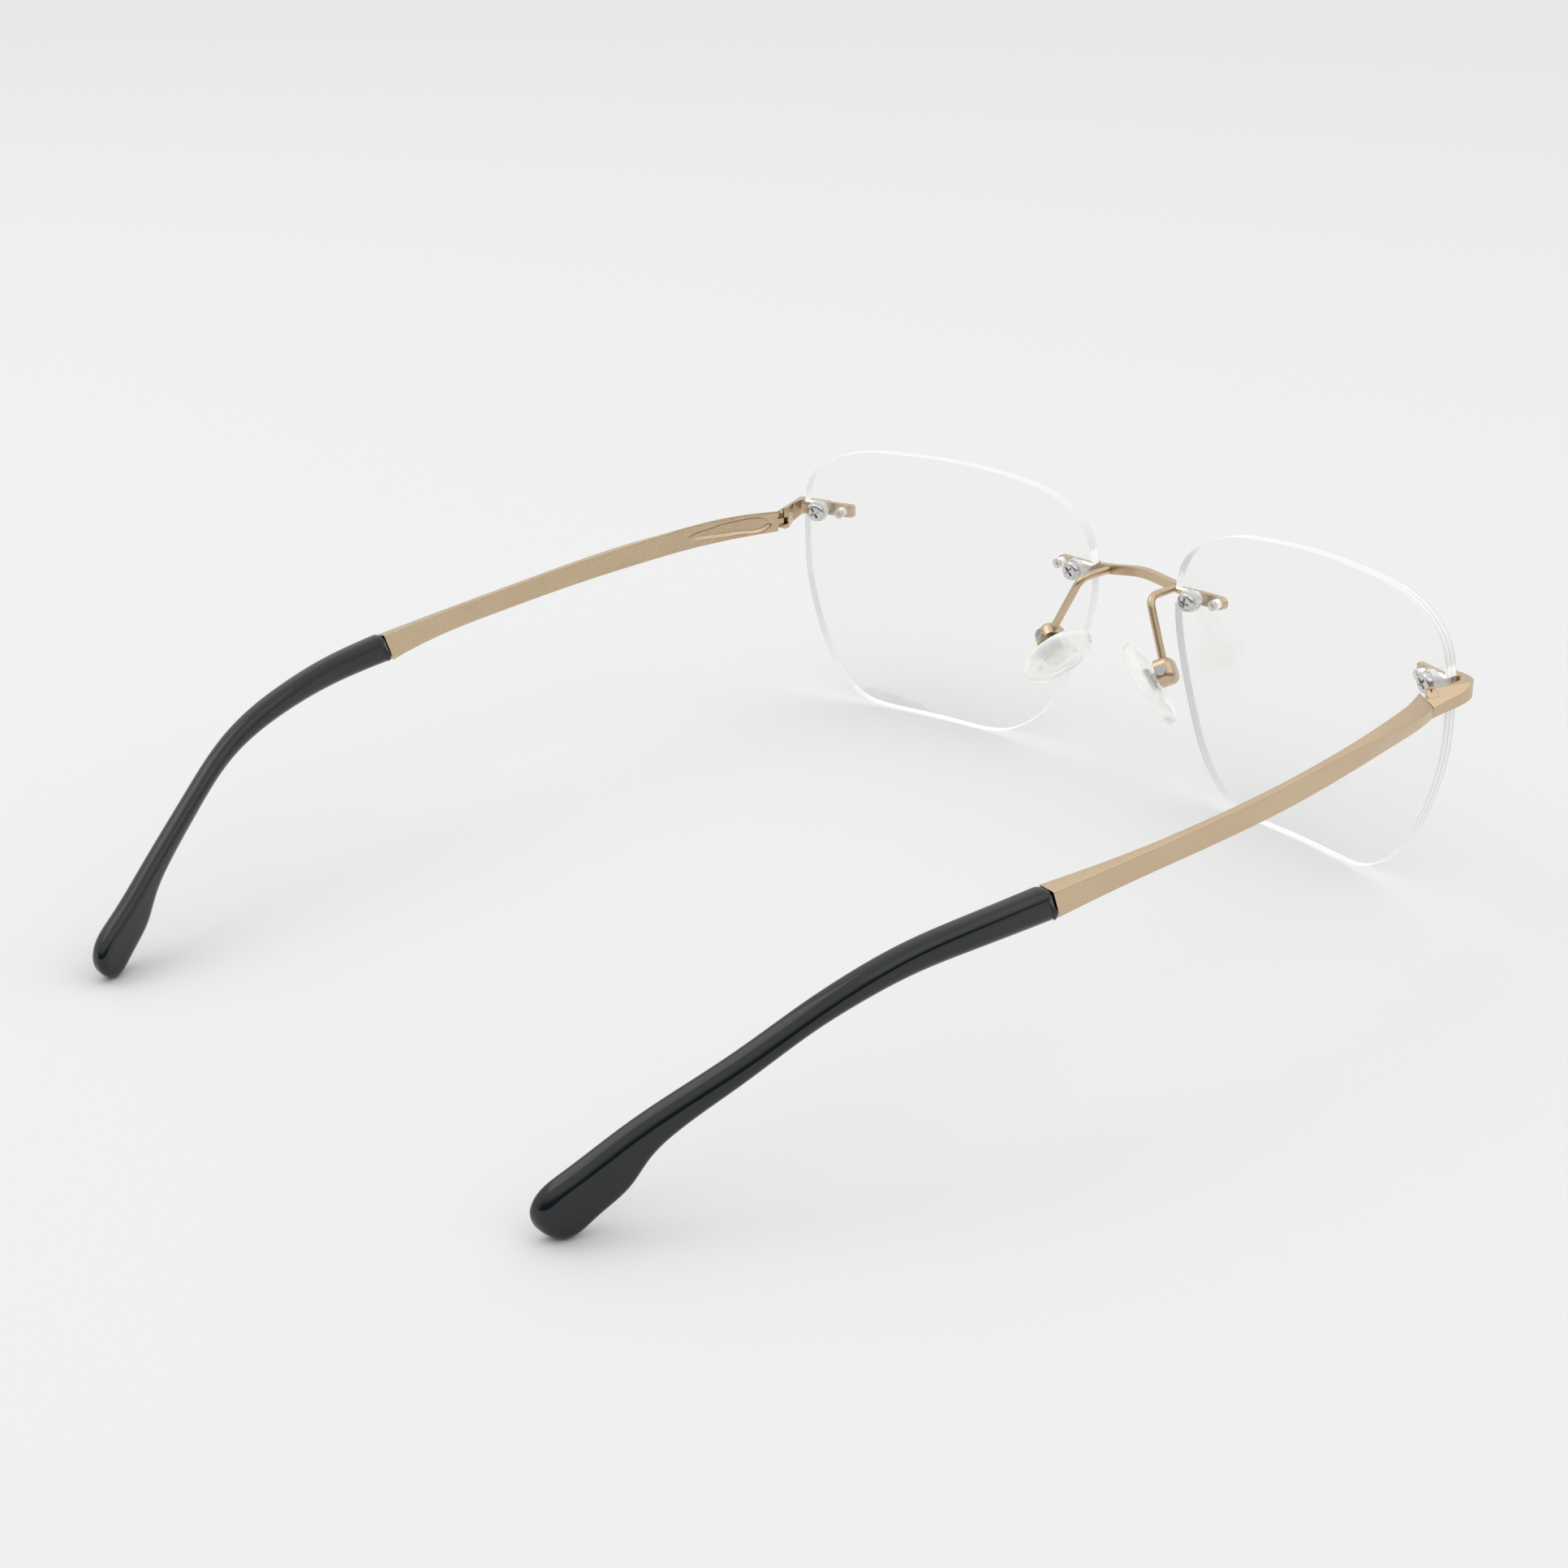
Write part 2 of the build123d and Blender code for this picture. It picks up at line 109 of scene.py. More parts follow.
class NodeSheet:
    """Lays out one material's shader nodes."""

    def __init__(self, name: str, tree: bpy.types.NodeTree | None = None) -> None:
        """Start on an empty material, or on a node tree that is given.

        Args:
            name: the new material's name.
            tree: a world's node tree, to be laid out in its place.
        """
        self.material = None
        if tree is None:
            self.material = bpy.data.materials.new(name)
            self.material.use_nodes = True
            tree = self.material.node_tree
        self.tree = tree
        self.tree.nodes.clear()
        self.coordinates = self.add("ShaderNodeTexCoord")
        self.place = self.coordinates.outputs["Object"]

    def add(self, kind: str, settings: dict | None = None, **sockets) -> bpy.types.Node:
        """Add a node.

        Args:
            kind: Blender's node type.
            settings: properties of the node itself.
            **sockets: input values or the sockets that feed them, by input name.

        Returns:
            The new node.
        """
        node = self.tree.nodes.new(kind)
        for key, value in (settings or {}).items():
            setattr(node, key, value)
        for key, value in sockets.items():
            self.feed(node.inputs[key.replace("_", " ")], value)
        return node

    def feed(self, socket: bpy.types.NodeSocket, value: object) -> None:
        """Link a socket into another, or set its constant."""
        if isinstance(value, bpy.types.NodeSocket):
            self.tree.links.new(value, socket)
        else:
            socket.default_value = value

    def maths(self, operation: str, first: object, second: object = 0.0) -> bpy.types.NodeSocket:
        """Work out a two-value sum.

        Args:
            operation: Blender's name of the sum.
            first: a value or a socket.
            second: another value or socket.

        Returns:
            The result's socket.
        """
        node = self.add("ShaderNodeMath", {"operation": operation})
        self.feed(node.inputs[0], first)
        self.feed(node.inputs[1], second)
        return node.outputs[0]

    def dot(self, first: object, second: object) -> bpy.types.NodeSocket:
        """Work out a dot product.

        Args:
            first: a vector or a socket.
            second: another vector or socket.

        Returns:
            The dot product's socket.
        """
        node = self.add("ShaderNodeVectorMath", {"operation": "DOT_PRODUCT"})
        self.feed(node.inputs[0], first)
        self.feed(node.inputs[1], second)
        return node.outputs["Value"]

    def blend(self, factor: object, first: object, second: object) -> bpy.types.NodeSocket:
        """Mix two colours.

        Args:
            factor: the share of the second colour.
            first: a colour or a socket.
            second: another colour or socket.

        Returns:
            The mixed colour's socket.
        """
        node = self.add("ShaderNodeMix", {"data_type": "RGBA"})
        for index, value in ((0, factor), (6, first), (7, second)):
            self.feed(node.inputs[index], value)
        return node.outputs[2]

    def ramp(self, value: bpy.types.NodeSocket, low: float, high: float) -> bpy.types.NodeSocket:
        """Stretch a value smoothly between two ends.

        Args:
            value: the value to stretch.
            low: where the result is 0.
            high: where the result is 1.

        Returns:
            The stretched value's socket.
        """
        node = self.add("ShaderNodeMapRange", {"interpolation_type": "SMOOTHSTEP"}, Value=value)
        node.inputs["From Min"].default_value = low
        node.inputs["From Max"].default_value = high
        return node.outputs["Result"]

    def noise(self, scale: tuple[float, float, float], detail: float = 3.0) -> bpy.types.NodeSocket:
        """Return noise stretched by a scale along each axis, in cells per metre."""
        mapping = self.add("ShaderNodeMapping", Vector=self.place, Scale=scale)
        return self.add(
            "ShaderNodeTexNoise", Vector=mapping.outputs[0], Scale=1.0, Detail=detail
        ).outputs["Fac"]

    def bump(self, height: bpy.types.NodeSocket, depth: float, strength: float) -> bpy.types.NodeSocket:
        """Return a normal bent by a height in metres."""
        return self.add(
            "ShaderNodeBump", Height=height, Distance=depth, Strength=strength
        ).outputs["Normal"]

    def soft_edge(self, radius: float) -> bpy.types.NodeSocket:
        """Return a normal that rounds the edges by a radius."""
        return self.add("ShaderNodeBevel", {"samples": 6}, Radius=radius).outputs["Normal"]

    def finish(self, shader: bpy.types.NodeSocket) -> bpy.types.Material:
        """Close the sheet with its output.

        Args:
            shader: the last shader.

        Returns:
            The material.
        """
        self.add("ShaderNodeOutputMaterial", Surface=shader)
        return self.material


# -------------------------------------------------------------------- finishes


@dataclass(frozen=True)
class GoldFinish:
    """Pale champagne gold plating with a fine brushed grain."""

    name: str = "champagne_gold_brushed"
    tone: tuple[float, float, float] = (0.605, 0.465, 0.31)
    second_tone: tuple[float, float, float] = (0.63, 0.49, 0.33)
    roughness: float = 0.27
    grain: tuple[float, float, float] = (9000.0, 260.0, 9000.0)
    grain_strength: float = 0.02
    edge: float = 0.11 * MM

    def material(self) -> bpy.types.Material:
        """Lay out the shader.

        Returns:
            The brushed gold.
        """
        sheet = NodeSheet(self.name)
        grain = sheet.noise(self.grain)
        clouds = sheet.noise((180.0, 60.0, 180.0))
        scratches = sheet.ramp(sheet.noise((2600.0, 45.0, 4200.0), 1.0), 0.69, 0.73)
        colour = sheet.blend(sheet.ramp(clouds, 0.3, 0.7), (*self.tone, 1), (*self.second_tone, 1))
        rough = sheet.maths("ADD", self.roughness - 0.02, sheet.maths("MULTIPLY", grain, 0.04))
        rough = sheet.maths("ADD", rough, sheet.maths("MULTIPLY", scratches, -0.03))
        bump = sheet.add(
            "ShaderNodeBump",
            Height=grain,
            Distance=0.01 * MM,
            Strength=self.grain_strength,
            Normal=sheet.soft_edge(self.edge),
        )
        shader = sheet.add(
            "ShaderNodeBsdfPrincipled",
            Base_Color=colour,
            Metallic=1.0,
            Roughness=rough,
            Normal=bump.outputs["Normal"],
        )
        return sheet.finish(shader.outputs[0])


@dataclass(frozen=True)
class SteelFinish:
    """Polished steel with faint wear."""

    name: str = "polished_steel"
    tone: tuple[float, float, float] = (0.70, 0.70, 0.69)
    roughness: float = 0.17
    edge: float = 0.07 * MM

    def material(self) -> bpy.types.Material:
        """Lay out the shader.

        Returns:
            The steel.
        """
        sheet = NodeSheet(self.name)
        wear = sheet.noise((1400.0, 1400.0, 1400.0))
        dark = tuple(0.86 * part for part in self.tone)
        colour = sheet.blend(wear, (*self.tone, 1), (*dark, 1))
        rough = sheet.maths("ADD", self.roughness - 0.05, sheet.maths("MULTIPLY", wear, 0.12))
        shader = sheet.add(
            "ShaderNodeBsdfPrincipled",
            Base_Color=colour,
            Metallic=1.0,
            Roughness=rough,
            Normal=sheet.soft_edge(self.edge),
        )
        return sheet.finish(shader.outputs[0])


@dataclass(frozen=True)
class LensFinish:
    """Clear lens material with polished edges, made brighter by a painted glow, that show faint
    parallel lines.
    """

    name: str
    side: Side
    wrap: float = math.radians(10.0)
    tilt: float = math.radians(2.1)
    centre: tuple[float, float, float] = (35.5 * MM, -75.5 * MM, 21.172 * MM)
    curve: float = 120.0 * MM
    index: float = 1.5
    # strength of the emission that paints a bright glow onto the lens edges
    rim_glow: float = 0.26

    def front(self) -> Vector:
        """Return the direction the lens faces."""
        level = math.cos(self.wrap)
        return Vector(
            (
                self.side.value * math.sin(self.wrap),
                -level * math.cos(self.tilt),
                -level * math.sin(self.tilt),
            )
        )

    def material(self) -> bpy.types.Material:
        """Lay out the shader.

        Returns:
            The lens material.
        """
        sheet = NodeSheet(self.name)
        facing = sheet.dot(sheet.add("ShaderNodeNewGeometry").outputs["True Normal"], self.front()[:])
        on_edge = sheet.maths("LESS_THAN", sheet.maths("ABSOLUTE", facing), 0.6)
        ball = Vector((self.side.value * self.centre[0], *self.centre[1:])) - self.curve * self.front()
        reach = sheet.add("ShaderNodeVectorMath", {"operation": "DISTANCE"})
        sheet.feed(reach.inputs[0], sheet.place)
        sheet.feed(reach.inputs[1], ball[:])
        depth = sheet.maths("SUBTRACT", self.curve, reach.outputs["Value"])
        waver = sheet.maths("MULTIPLY", sheet.noise((60.0, 60.0, 60.0)), 0.25 * MM)
        wave = sheet.maths("SINE", sheet.maths("MULTIPLY", sheet.maths("ADD", depth, waver), 8200.0))
        line = sheet.ramp(wave, 0.35, 0.95)
        clouds = sheet.noise((40.0, 40.0, 40.0))
        tint = sheet.blend(clouds, (0.978, 0.983, 0.972, 1), (0.972, 0.978, 0.966, 1))
        clear = sheet.add(
            "ShaderNodeBsdfPrincipled",
            Base_Color=tint,
            Roughness=0.0,
            IOR=self.index,
            Transmission_Weight=1.0,
        )
        rim_colour = sheet.blend(line, (0.98, 0.985, 0.98, 1), (0.78, 0.80, 0.79, 1))
        # the edge shader emits its own colour, a painted highlight that makes the lens edges look
        # bright
        rim = sheet.add(
            "ShaderNodeBsdfPrincipled",
            Base_Color=rim_colour,
            Roughness=0.2,
            IOR=self.index,
            Transmission_Weight=0.3,
            Emission_Color=rim_colour,
            Emission_Strength=self.rim_glow,
        )
        whole = sheet.add("ShaderNodeMixShader", Fac=on_edge)
        sheet.feed(whole.inputs[1], clear.outputs[0])
        sheet.feed(whole.inputs[2], rim.outputs[0])
        return sheet.finish(let_light_through(sheet, whole.outputs[0], 0.93))


@dataclass(frozen=True)
class ClearFinish:
    """Clear or cloudy moulded plastic and silicone, with a painted glow (emission) that brightens the
    cloudy part.
    """

    name: str
    tone: tuple[float, float, float]
    roughness: float
    cloud: float
    index: float = 1.46
    edge: float = 0.08 * MM
    # strength of the emission that paints light onto the cloudy part
    glow: float = 0.0

    def material(self) -> bpy.types.Material:
        """Lay out the shader.

        Returns:
            The plastic.
        """
        sheet = NodeSheet(self.name)
        haze = sheet.ramp(sheet.noise((420.0, 420.0, 420.0)), 0.25, 0.8)
        dull = tuple(0.93 * part for part in self.tone)
        colour = sheet.blend(haze, (*self.tone, 1), (*dull, 1))
        rough = sheet.maths("ADD", self.roughness, sheet.maths("MULTIPLY", haze, 0.06))
        normal = sheet.soft_edge(self.edge)
        clear = sheet.add(
            "ShaderNodeBsdfPrincipled",
            Base_Color=colour,
            Roughness=rough,
            IOR=self.index,
            Transmission_Weight=1.0,
            Normal=normal,
        )
        # the cloudy part also emits its colour, a painted glow that brightens it
        milk = sheet.add(
            "ShaderNodeBsdfPrincipled",
            Base_Color=colour,
            Roughness=rough,
            Normal=normal,
            Emission_Color=colour,
            Emission_Strength=self.glow,
        )
        whole = sheet.add("ShaderNodeMixShader", Fac=self.cloud)
        sheet.feed(whole.inputs[1], clear.outputs[0])
        sheet.feed(whole.inputs[2], milk.outputs[0])
        return sheet.finish(let_light_through(sheet, whole.outputs[0], 0.85))


# both clear finishes carry a painted glow from emission
HARD_PLASTIC = ClearFinish("clear_plastic", (0.98, 0.98, 0.975), 0.06, 0.3, glow=0.12)
SOFT_SILICONE = ClearFinish("clear_silicone", (0.985, 0.985, 0.965), 0.02, 0.34, 1.38, glow=0.2)


@dataclass(frozen=True)
class AcetateFinish:
    """Glossy near-black slate acetate."""

    name: str = "slate_acetate"
    tone: tuple[float, float, float] = (0.0045, 0.0068, 0.0080)
    second_tone: tuple[float, float, float] = (0.008, 0.0105, 0.012)
    roughness: float = 0.06

    def material(self) -> bpy.types.Material:
        """Lay out the shader.

        Returns:
            The acetate.
        """
        sheet = NodeSheet(self.name)
        clouds = sheet.noise((160.0, 70.0, 160.0))
        polish = sheet.noise((900.0, 300.0, 900.0))
        colour = sheet.blend(clouds, (*self.tone, 1), (*self.second_tone, 1))
        rough = sheet.maths("ADD", self.roughness - 0.02, sheet.maths("MULTIPLY", polish, 0.06))
        shader = sheet.add(
            "ShaderNodeBsdfPrincipled",
            Base_Color=colour,
            Roughness=rough,
            IOR=1.5,
            Normal=sheet.bump(clouds, 0.02 * MM, 0.25),
        )
        return sheet.finish(shader.outputs[0])


@dataclass(frozen=True)
class FloorFinish:
    """Matt pale studio paper."""

    name: str = "pale_paper"
    tone: tuple[float, float, float] = (0.86, 0.86, 0.86)

    def material(self) -> bpy.types.Material:
        """Lay out the shader.

        Returns:
            The paper.
        """
        sheet = NodeSheet(self.name)
        fibre = sheet.noise((900.0, 900.0, 900.0))
        dull = tuple(0.995 * part for part in self.tone)
        colour = sheet.blend(fibre, (*self.tone, 1), (*dull, 1))
        shader = sheet.add("ShaderNodeBsdfDiffuse", Color=colour)
        return sheet.finish(shader.outputs[0])


def let_light_through(
    sheet: NodeSheet, shader: bpy.types.NodeSocket, share: float
) -> bpy.types.NodeSocket:
    """Let most light pass a clear piece, so that it casts only a faint shadow.

    Args:
        sheet: the material being laid out.
        shader: the piece's own shader.
        share: how much of the light passes, from 0 to 1.

    Returns:
        The combined shader.
    """
    path = sheet.add("ShaderNodeLightPath")
    passing = sheet.add("ShaderNodeBsdfTransparent", Color=(share, share, share, 1))
    either = sheet.add("ShaderNodeMixShader", Fac=path.outputs["Is Shadow Ray"])
    sheet.feed(either.inputs[1], shader)
    sheet.feed(either.inputs[2], passing.outputs[0])
    return either.outputs[0]


# ------------------------------------------------------------- mesh and curves


def smooth_line(points: list[tuple[float, ...]], steps: np.ndarray | int) -> np.ndarray:
    """Evaluate a smooth curve through points.

    Args:
        points: stations of any dimension; the first value need not grow.
        steps: number of evenly spread results, or the fractions of length to evaluate.

    Returns:
        One row for each result.
    """
    given = np.array(points, float)
    chord = np.concatenate([[0.0], np.cumsum(np.linalg.norm(np.diff(given, axis=0), axis=1))])
    where = np.linspace(0, 1, steps) if isinstance(steps, int) else steps
    return natural_spline(chord, given, np.asarray(where) * chord[-1])


def natural_spline(knots: np.ndarray, values: np.ndarray, where: np.ndarray) -> np.ndarray:
    """Evaluate the natural cubic spline through values.

    Args:
        knots: growing stations.
        values: one row for each knot.
        where: stations to evaluate.

    Returns:
        One row for each station in where.
    """
    count = len(knots)
    gap = np.diff(knots)
    slope = np.diff(values, axis=0) / gap[:, None]
    system = np.eye(count)
    right = np.zeros_like(values)
    for i in range(1, count - 1):
        system[i, i - 1 : i + 2] = (gap[i - 1], 2 * (gap[i - 1] + gap[i]), gap[i])
        right[i] = 6 * (slope[i] - slope[i - 1])
    bend = np.linalg.solve(system, right)
    at = np.clip(np.searchsorted(knots, where) - 1, 0, count - 2)
    h = gap[at][:, None]
    a = (knots[at + 1] - where)[:, None] / h
    b = 1 - a
    curve = (a**3 - a) * bend[at] + (b**3 - b) * bend[at + 1]
    return a * values[at] + b * values[at + 1] + curve * h * h / 6


def round_corners(corners: list[tuple[float, float]], radius: float, steps: int) -> list[Vector]:
    """Round each corner of a closed flat polygon.

    Args:
        corners: the polygon's corners in order.
        radius: radius of each rounding, limited by the shorter side.
        steps: number of points on each rounding.

    Returns:
        The rounded outline.
    """
    outline = []
    count = len(corners)
    for i in range(count):
        here = Vector(corners[i])
        before = Vector(corners[i - 1]) - here
        after = Vector(corners[(i + 1) % count]) - here
        half = before.angle(after) / 2
        cut = min(radius / math.tan(half), 0.45 * before.length, 0.45 * after.length)
        start = here + before.normalized() * cut
        end = here + after.normalized() * cut
        for k in range(steps):
            t = k / (steps - 1)
            outline.append((1 - t) ** 2 * start + 2 * t * (1 - t) * here + t * t * end)
    return outline


def new_piece(name: str, form: bmesh.types.BMesh, material: bpy.types.Material) -> bpy.types.Object:
    """Make a shown object from a finished mesh.

    Args:
        name: the piece's name.
        form: its closed mesh; it is freed here.
        material: its finish.

    Returns:
        The object, at the origin.
    """
    bmesh.ops.remove_doubles(form, verts=form.verts, dist=0.0005 * MM)
    bmesh.ops.dissolve_degenerate(form, edges=form.edges, dist=0.0002 * MM)
    bmesh.ops.recalc_face_normals(form, faces=form.faces)
    mesh = bpy.data.meshes.new(name)
    form.to_mesh(mesh)
    form.free()
    mesh.materials.append(material)
    mesh.polygons.foreach_set("use_smooth", [True] * len(mesh.polygons))
    piece = bpy.data.objects.new(name, mesh)
    bpy.context.scene.collection.objects.link(piece)
    return piece


def sharpen(piece: bpy.types.Object, angle: float) -> None:
    """Keep edges steeper than an angle in degrees crisp in the shading."""
    piece.data.set_sharp_from_angle(angle=math.radians(angle))


def skin(form: bmesh.types.BMesh, rings: list[list[Vector]], capped: bool = True) -> None:
    """Join rings of points into a closed skin.

    Args:
        form: the mesh to add to.
        rings: closed rings with equal numbers of points.
        capped: whether the first and last ring are filled.
    """
    rows = [[form.verts.new(point) for point in ring] for ring in rings]
    for lower, upper in zip(rows, rows[1:]):
        for i in range(len(lower)):
            j = (i + 1) % len(lower)
            form.faces.new((lower[i], lower[j], upper[j], upper[i]))
    if capped:
        form.faces.new(rows[0])
        form.faces.new(rows[-1])


def mirrored(point: tuple[float, float, float], side: Side) -> Vector:
    """Return a millimetre point of the left half, on its side, in metres."""
    return Vector((side.value * point[0] * MM, point[1] * MM, point[2] * MM))


# ---------------------------------------------------------------- sub-assemblies


@dataclass
class TempleArm:
    """Slim metal arm with a faceted front, a hollow behind the hinge and the hinge tongue.

    Sizes are in millimetres, for the left side, with y counted back from the lens fronts.
    """

    side: Side
    shift: float = -75.5
    butt: float = 15.85
    joint: float = 92.4
    joint_lean: float = 0.364
    joint_height: float = 27.0
    lean_start: float = 84.0
    round: float = 0.22
    front_round: tuple[float, float] = (0.14, 0.05)
    scoop_depth: float = 0.42
    scoop_edge: float = 0.55
    scoop_end: float = 33.0
    fine_until: float = 34.0
    fine_step: float = 0.13
    coarse_rows: int = 56
    face_columns: int = 28
    pin: tuple[float, float] = (62.15, 14.45)
    pin_hole: float = 0.49
    tongue: tuple[float, float] = (29.5, 30.45)
    tongue_radius: float = 0.75
    tongue_root: float = 1.8
    tongue_steps: int = 32
    flare: float = 1.35
    # y, then inner x, outer x, and heights of inner bottom, inner top, outer top, outer bottom
    sections: list[tuple[float, ...]] = field(
        default_factory=lambda: [
            (15.6, 60.87, 63.38, 28.5, 32.05, 30.35, 28.95),
            (20.0, 62.5, 64.55, 28.3, 32.2, 30.55, 29.05),
            (26.0, 63.9, 65.5, 28.15, 32.25, 30.9, 29.05),
            (32.0, 64.75, 66.1, 28.0, 32.0, 31.15, 28.85),
            (40.0, 65.4, 66.55, 27.7, 31.45, 31.2, 28.3),
            (54.0, 65.85, 66.8, 27.15, 30.65, 30.55, 27.35),
            (70.0, 65.2, 66.2, 26.45, 29.8, 29.65, 26.55),
            (82.0, 64.1, 65.5, 25.85, 29.3, 29.05, 25.95),
            (96.0, 61.9, 64.3, 24.4, 28.85, 28.35, 24.6),
        ]
    )
    scoop_line: list[tuple[float, float]] = field(
        default_factory=lambda: [
            (32.6, 29.9), (31.65, 30.4), (28.25, 31.0), (24.85, 31.4), (21.45, 31.5), (18.1, 31.2),
            (16.8, 30.1), (18.1, 28.95), (21.45, 28.85), (24.85, 28.95), (28.25, 29.2),
            (31.65, 29.55), (32.6, 29.9),
        ]
    )

    def stations(self) -> np.ndarray:
        """Spread the y stations.

        Returns:
            The stations, closer together around the hollow.
        """
        near = np.arange(self.butt, self.fine_until, self.fine_step)
        far = np.linspace(self.fine_until, self.joint, self.coarse_rows)
        return np.concatenate([near, far])

    def hollow(self, y: float, z: float, edge: list[np.ndarray]) -> float:
        """Return the depth of the teardrop hollow.

        Args:
            y: distance behind the lens fronts.
            z: height.
            edge: points of the hollow's outline, in order.

        Returns:
            The depth in millimetres, 0 outside.
        """
        inside = False
        nearest = 1e9
        for a, b in zip(edge, edge[1:]):
            if (a[1] > z) != (b[1] > z) and y < a[0] + (z - a[1]) * (b[0] - a[0]) / (b[1] - a[1]):
                inside = not inside
            along = b - a
            t = max(0.0, min(1.0, float(np.dot((y - a[0], z - a[1]), along) / np.dot(along, along))))
            nearest = min(nearest, math.hypot(y - a[0] - t * along[0], z - a[1] - t * along[1]))
        if not inside:
            return 0.0
        t = min(1.0, nearest / self.scoop_edge)
        return self.scoop_depth * t * t * (3 - 2 * t)

    def ring(
        self, y: float, section: np.ndarray, edge: list[np.ndarray], shrink: float
    ) -> list[Vector]:
        """Build one rounded section.

        Args:
            y: its station.
            section: inner x, outer x and the four heights.
            edge: outline of the hollow.
            shrink: how far this ring is drawn in from the full section.

        Returns:
            The ring's points in metres.
        """
        inner, outer, low_in, top_in, top_out, low_out = section
        s = shrink
        slant = 0.6 * s
        corners = [
            (inner + s, low_in + s),
            (inner + s, top_in - s),
            (outer - s, top_out - slant),
            (outer - s, low_out + slant),
        ]
        rounded = round_corners(corners, self.round, 4)
        columns = self.face_columns
        inner_face = [rounded[3].lerp(rounded[4], k / columns) for k in range(1, columns)]
        outline = rounded[:4] + inner_face + rounded[4:]
        lean = max(0.0, min(1.0, (y - self.lean_start) / (self.joint - self.lean_start)))
        points = []
        for x, z in outline:
            on_inner_face = x < inner + s + 0.02
            depth = self.hollow(y, z, edge) if on_inner_face and y < self.scoop_end else 0.0
            back = y + lean * lean * self.joint_lean * (z - self.joint_height)
            points.append(mirrored((x + depth, back + self.shift, z), self.side))
        return points

    def tongue_edge(self, x: float, y: float) -> tuple[float, float]:
        """Find the tongue's edge, round in front and squared off behind.

        Args:
            x: sideways part of the direction.
            y: backward part of the direction.

        Returns:
            The edge's place, from the pin.
        """
        reach = self.tongue_radius
        if y <= 0:
            return reach * x, reach * y
        root = self.tongue_root if abs(x) < 0.999 else reach
        return reach * max(-1, min(1, self.flare * x)), root * min(1.0, self.flare * y)

    def tongue_plate(self, form: bmesh.types.BMesh) -> None:
        """Add the hinge tongue, a plate with a round nose and the pin's hole.

        Args:
            form: the mesh to add to.
        """
        outer, inner = [], []
        for k in range(self.tongue_steps):
            turn = 2 * math.pi * k / self.tongue_steps
            x, y = math.cos(turn), math.sin(turn)
            outer.append(self.tongue_edge(x, y))
            inner.append((self.pin_hole * x, self.pin_hole * y))
        foot, top = self.tongue
        middle_x, middle_y = self.pin
        rings = []
        around = ((inner, foot), (outer, foot), (outer, top), (inner, top), (inner, foot))
        for outline, level in around:
            spots = [(middle_x + x, middle_y + y + self.shift, level) for x, y in outline]
            rings.append([mirrored(spot, self.side) for spot in spots])
        skin(form, rings, capped=False)

    def build(self, finish: bpy.types.Material) -> bpy.types.Object:
        """Build and dress the arm.

        Args:
            finish: the metal.

        Returns:
            The piece.
        """
        table = np.array(self.sections)
        where = self.stations()
        sizes = natural_spline(table[:, 0], table[:, 1:], where)
        edge = list(smooth_line(self.scoop_line, 60))
        first, second = self.front_round
        rings = [self.ring(where[0], sizes[0], edge, first)]
        rings.append(self.ring(where[0] + 0.04, sizes[0], edge, second))
        for y, section in zip(where[1:], sizes[1:]):
            rings.append(self.ring(y, section, edge, 0.0))
        form = bmesh.new()
        skin(form, rings)
        self.tongue_plate(form)
        piece = new_piece(f"brushed_arm_{self.side.word}", form, finish)
        sharpen(piece, 38)
        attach(piece, f"temple_{self.side.word}")
        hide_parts(f"temple_{self.side.word}")
        return piece


